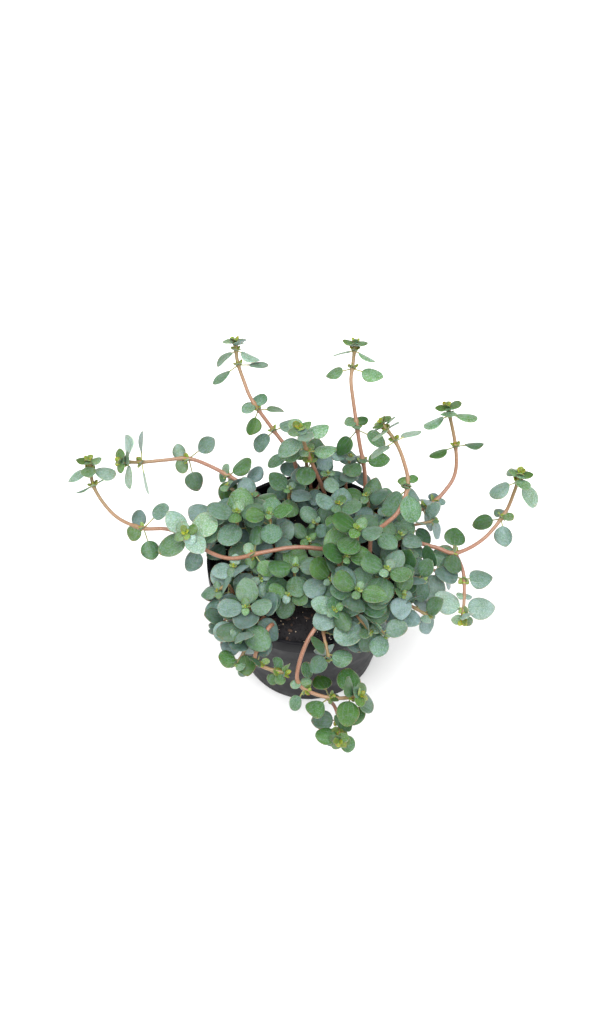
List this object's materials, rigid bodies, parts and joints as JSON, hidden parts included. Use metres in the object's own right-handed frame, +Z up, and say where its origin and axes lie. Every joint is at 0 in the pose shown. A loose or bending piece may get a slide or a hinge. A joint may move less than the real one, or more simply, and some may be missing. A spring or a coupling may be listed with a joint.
{
  "type": "potted silver sparkle pilea",
  "caption": "Trailing small-leaved plant with round silvery leaves in opposite pairs on thin stems, rooted in the soil of a round tapered nursery pot.",
  "frame": {"origin": "middle of the underside of the pot, on the surface that it stands on", "axes": "+Z up along the pot's axis; +Y away from the viewer, towards the back runners; +X to the viewer's right"},
  "size_m": [0.2203, 0.1829, 0.1446],
  "materials": {
    "pot": "satin",
    "soil": "matte",
    "leaf": "satin",
    "stem": "satin",
    "grit": "matte"
  },
  "bodies": {
    "root": {"pot": "pot", "soil": "soil", "runner_back": "leaf", "runner_back_left": "leaf", "runner_back_tall": "leaf", "runner_front": "leaf", "runner_front_left": "leaf", "runner_left": "leaf", "runner_left_back": "leaf", "runner_right": "leaf", "runner_right_back": "leaf", "runner_right_far": "leaf", "shoot_01": "leaf", "shoot_02": "leaf", "shoot_03": "leaf", "shoot_04": "leaf", "shoot_05": "leaf", "shoot_06": "leaf", "shoot_07": "leaf", "shoot_08": "leaf", "shoot_09": "leaf", "shoot_10": "leaf", "shoot_11": "leaf", "shoot_12": "leaf", "shoot_13": "leaf", "shoot_14": "leaf", "shoot_15": "leaf", "shoot_16": "leaf", "shoot_17": "leaf", "shoot_18": "leaf", "shoot_19": "leaf", "shoot_20": "leaf", "shoot_21": "leaf", "shoot_22": "leaf", "shoot_23": "leaf", "shoot_24": "leaf"}
  },
  "joints": []
}
